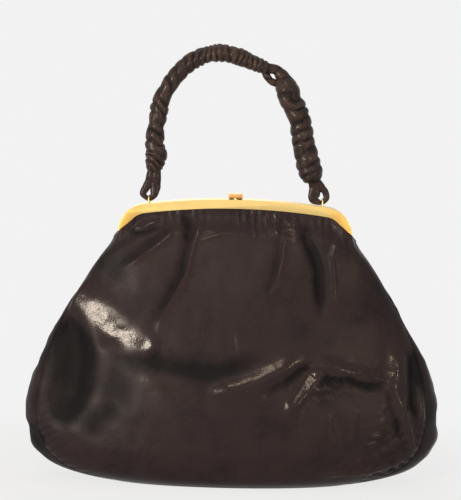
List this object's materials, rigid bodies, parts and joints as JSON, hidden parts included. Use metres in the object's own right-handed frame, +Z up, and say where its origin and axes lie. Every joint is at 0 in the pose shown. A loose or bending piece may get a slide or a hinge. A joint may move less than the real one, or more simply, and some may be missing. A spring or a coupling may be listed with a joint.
{
  "type": "frame handbag",
  "caption": "Soft gathered leather frame handbag with a hinged metal arch frame, a lift clasp and a ruched leather handle that swings on wire rings.",
  "frame": {"origin": "on the floor under the middle of the bag", "axes": "+X along the bag's width to the right seen from the front, +Y to the back, +Z up"},
  "size_m": [0.3, 0.0886, 0.3234],
  "materials": {
    "bag_leather": "soft, glossy, very dark brown",
    "handle_leather": "ruched, glossy, very dark brown",
    "lining_cloth": "plain dark twill",
    "frame_metal": "polished, lacquered",
    "handle_cord": "twisted cotton",
    "spring_steel": "plain"
  },
  "bodies": {
    "bag": {"front_panel": "bag_leather", "rear_panel": "bag_leather", "gusset": "bag_leather", "lining": "lining_cloth", "front_frame": "frame_metal", "left_hinge_rivet": "frame_metal", "right_hinge_rivet": "frame_metal", "left_handle_ring": "frame_metal", "right_handle_ring": "frame_metal", "clasp_catch": "frame_metal"},
    "rear_half": {"rear_frame": "frame_metal", "rear_panel_top": "bag_leather", "clasp_bracket": "frame_metal", "clasp_pin": "spring_steel", "clasp_spring": "spring_steel"},
    "lever": {"clasp_lever": "frame_metal"},
    "handle": {"handle_cover": "handle_leather", "handle_core": "handle_cord", "left_handle_loop": "handle_leather", "right_handle_loop": "handle_leather"}
  },
  "joints": [
    {"name": "frame_open", "type": "hinge", "parent": "bag", "child": "rear_half", "pos_m": [0, 0, 0.176], "axis": [-1, 0, 0], "range_deg": [0, 60]},
    {"name": "clasp_lift", "type": "hinge", "parent": "rear_half", "child": "lever", "pos_m": [0, 0.006, 0.2101], "axis": [-1, 0, 0], "range_deg": [0, 45], "stiffness_Nm_per_rad": 0.02, "springref_deg": -11.46},
    {"name": "handle_swing", "type": "hinge", "parent": "bag", "child": "handle", "pos_m": [0, -0.0042, 0.20685], "axis": [1, 0, 0], "range_deg": [-90, 95]}
  ]
}
